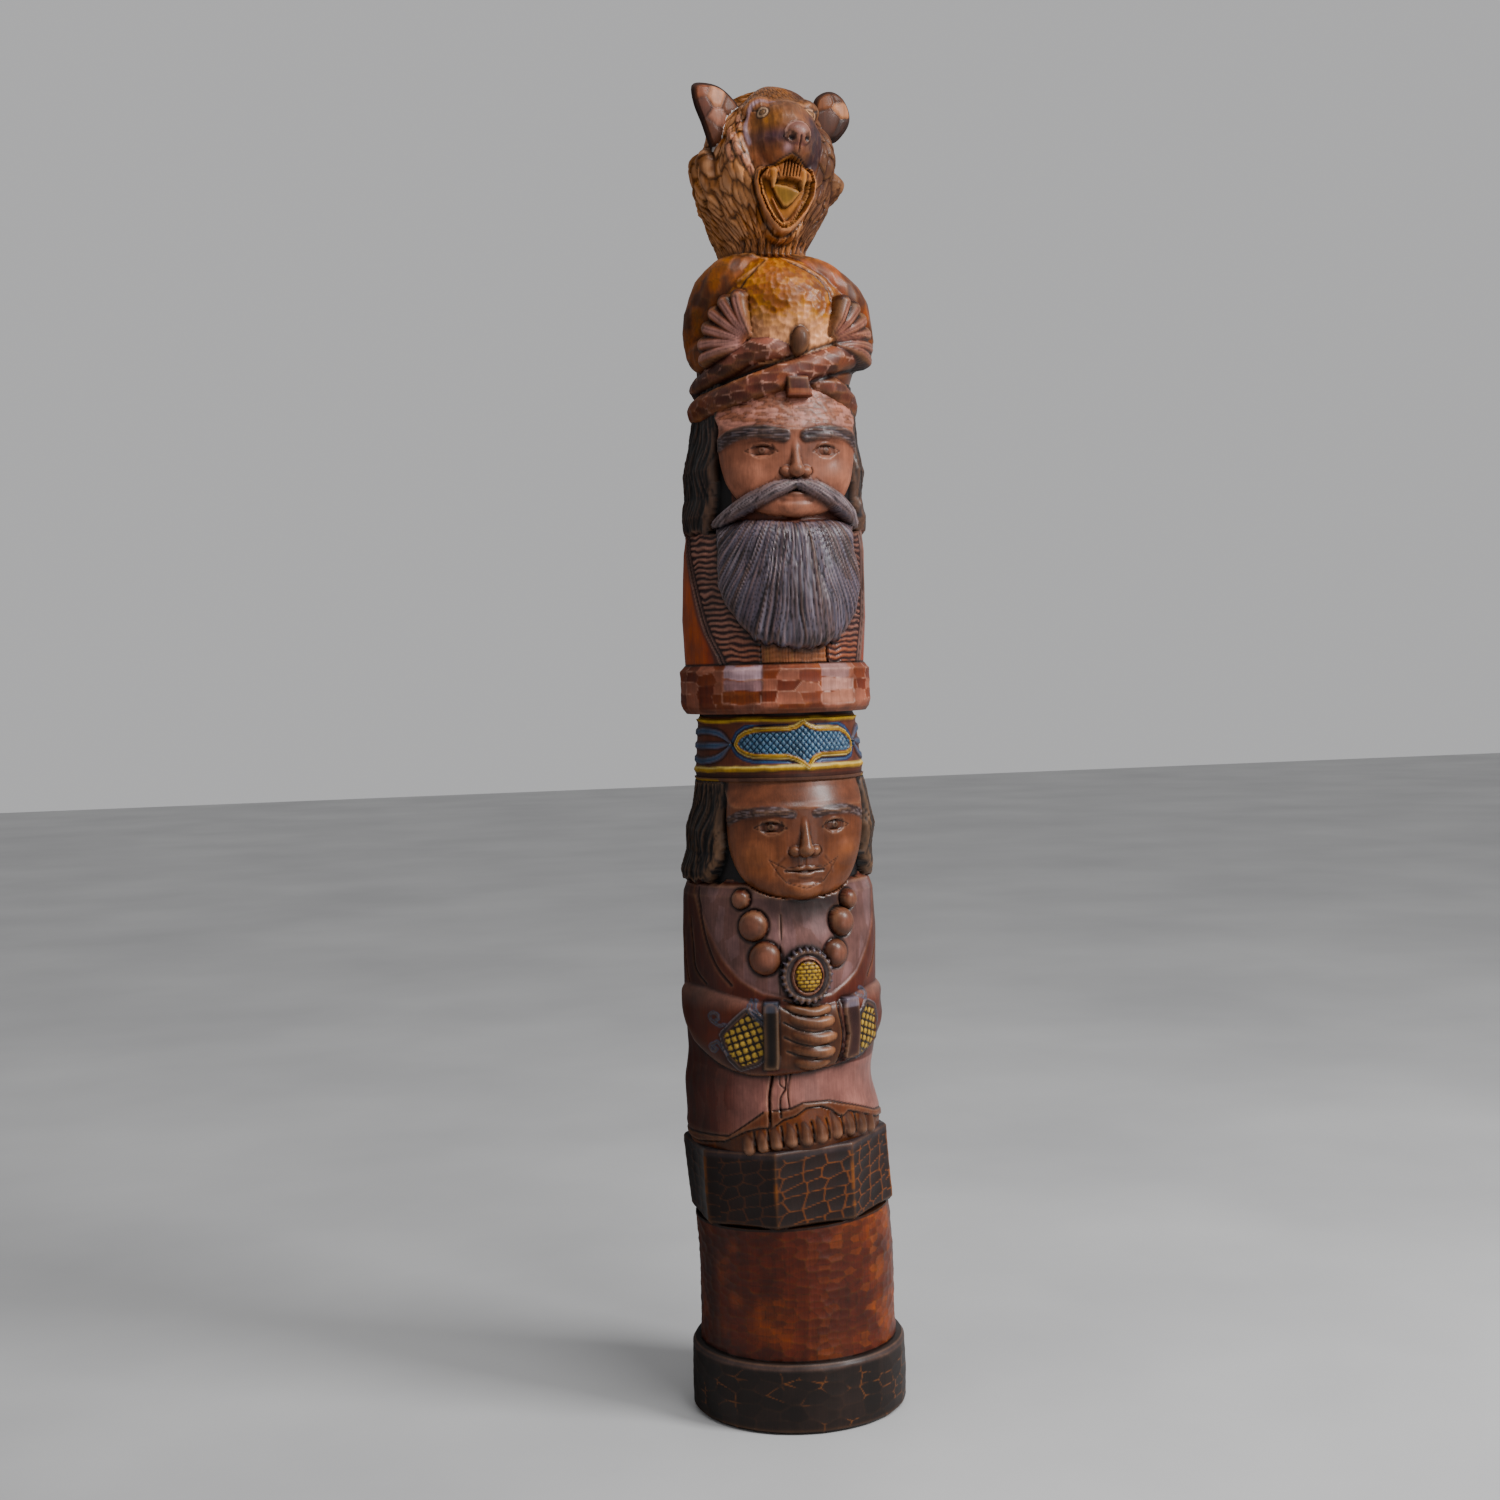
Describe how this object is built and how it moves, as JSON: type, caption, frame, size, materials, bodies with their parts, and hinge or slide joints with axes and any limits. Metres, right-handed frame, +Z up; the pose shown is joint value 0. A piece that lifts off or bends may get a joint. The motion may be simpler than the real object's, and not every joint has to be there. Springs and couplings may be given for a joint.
{
  "type": "carved totem pole",
  "caption": "Upright wooden pole carved from one log: a roaring bear over a bearded old man and a robed woman, on a banded drum and a round foot; stands on its flat underside",
  "frame": {"origin": "centre of the round foot's flat underside", "axes": "+Z up along the log, the carved front faces -Y, +X is the viewer's right when facing the front"},
  "size_m": [0.2858, 0.2866, 1.75],
  "materials": {
    "carved_wood": "stained and lacquered carved wood, red-brown, with black, blue and gold stained carving and dark recesses"
  },
  "bodies": {
    "root": {"totem_pole": "carved_wood"}
  },
  "joints": []
}
